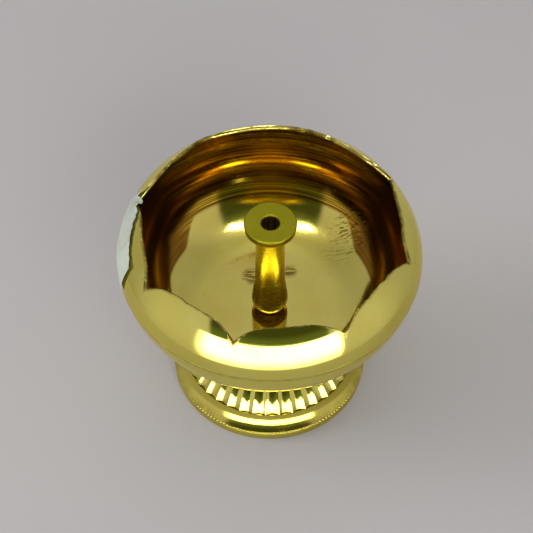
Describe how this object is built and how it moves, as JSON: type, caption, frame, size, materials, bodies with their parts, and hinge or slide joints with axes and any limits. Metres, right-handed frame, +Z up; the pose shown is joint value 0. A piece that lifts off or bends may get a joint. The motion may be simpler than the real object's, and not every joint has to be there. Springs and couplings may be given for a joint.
{
  "type": "diya oil lamp",
  "caption": "Round brass oil lamp: bowl with an in-curved petal-cut rim, central disc-topped wick post, fluted pedestal and ring foot.",
  "frame": {"origin": "on the lamp's axis, in the plane of the foot's flat bottom", "axes": "+Z up along the lamp's axis, -Y towards the front"},
  "size_m": [0.0802, 0.08, 0.0614],
  "materials": {
    "polished_brass": "polished",
    "turned_brass": "satin, turned",
    "plated_steel": "zinc plated",
    "fibre": "vulcanised fibre",
    "label_paper": "matt"
  },
  "bodies": {
    "pedestal": {"foot_ring": "polished_brass", "fluted_pedestal": "polished_brass", "fixing_stud": "plated_steel", "flat_washer": "plated_steel", "spring_washer": "plated_steel", "lock_nut": "plated_steel"},
    "bowl": {"bowl": "polished_brass", "petal_rim": "polished_brass", "paper_label": "label_paper"},
    "seal": {"seal_washer": "fibre"},
    "wick_post": {"wick_post": "turned_brass"}
  },
  "joints": [
    {"name": "bowl_lift", "type": "slide", "parent": "pedestal", "child": "bowl", "axis": [0, 0, 1], "range_m": [0, 0.015]},
    {"name": "post_rise", "type": "slide", "parent": "bowl", "child": "seal", "axis": [0, 0, 1], "range_m": [0, 0.007]},
    {"name": "post_turn", "type": "hinge", "parent": "seal", "child": "wick_post", "pos_m": [0, 0, 0.0614], "axis": [0, 0, 1], "range_deg": [0, 3600]}
  ],
  "couplings": [
    {"joint": "post_rise", "follows": "post_turn", "m_per_rad": 0.00011141}
  ]
}
